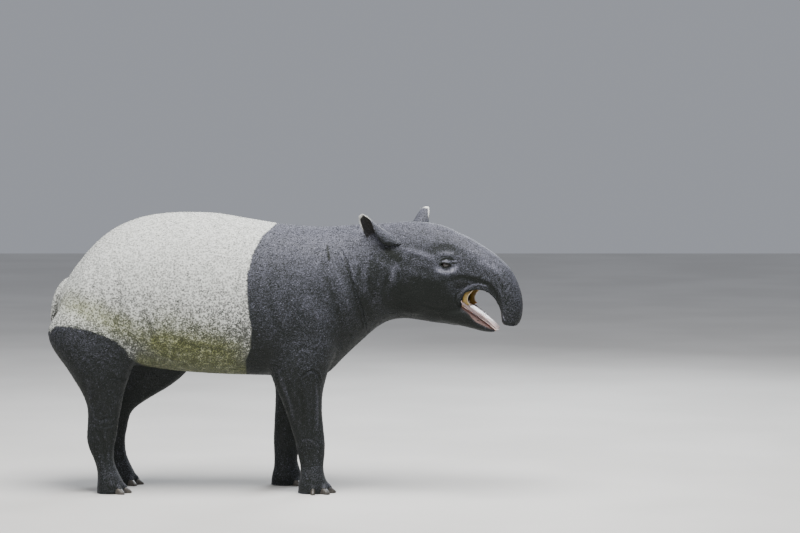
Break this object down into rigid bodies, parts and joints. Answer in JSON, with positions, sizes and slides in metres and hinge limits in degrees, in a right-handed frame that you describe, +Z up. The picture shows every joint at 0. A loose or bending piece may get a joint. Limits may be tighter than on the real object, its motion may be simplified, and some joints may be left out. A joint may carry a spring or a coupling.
{
  "type": "malayan tapir model",
  "caption": "Life-size standing Malayan tapir, black with a pale saddle, its mouth open and the head turned slightly to its right.",
  "frame": {"origin": "on the floor, under the middle of the box round the whole animal", "axes": "+X towards the head, +Y to the animal's left, +Z up; the feet stand at z = 0"},
  "size_m": [1.8374, 0.5076, 1.1069],
  "materials": {
    "black hide": "short dark coat",
    "white hide": "short pale coat",
    "hoof horn": "satin",
    "eye": "wet gloss",
    "tongue flesh": "moist"
  },
  "bodies": {
    "root": {"barrel": "white hide", "chest": "black hide", "ear_left": "black hide", "ear_right": "black hide", "eye_left": "eye", "eye_right": "eye", "forefoot_left": "black hide", "forefoot_right": "black hide", "forehoof_left_inner": "hoof horn", "forehoof_left_middle": "hoof horn", "forehoof_left_outer": "hoof horn", "forehoof_left_side": "hoof horn", "forehoof_right_inner": "hoof horn", "forehoof_right_middle": "hoof horn", "forehoof_right_outer": "hoof horn", "forehoof_right_side": "hoof horn", "foreleg_left": "black hide", "foreleg_right": "black hide", "head": "black hide", "hindfoot_left": "black hide", "hindfoot_right": "black hide", "hindhoof_left_inner": "hoof horn", "hindhoof_left_middle": "hoof horn", "hindhoof_left_outer": "hoof horn", "hindhoof_right_inner": "hoof horn", "hindhoof_right_middle": "hoof horn", "hindhoof_right_outer": "hoof horn", "lower_jaw": "black hide", "neck": "black hide", "proboscis": "black hide", "rump": "white hide", "shank_left": "black hide", "shank_right": "black hide", "tail": "white hide", "thigh_left": "black hide", "thigh_right": "black hide", "tongue": "tongue flesh"}
  },
  "joints": []
}
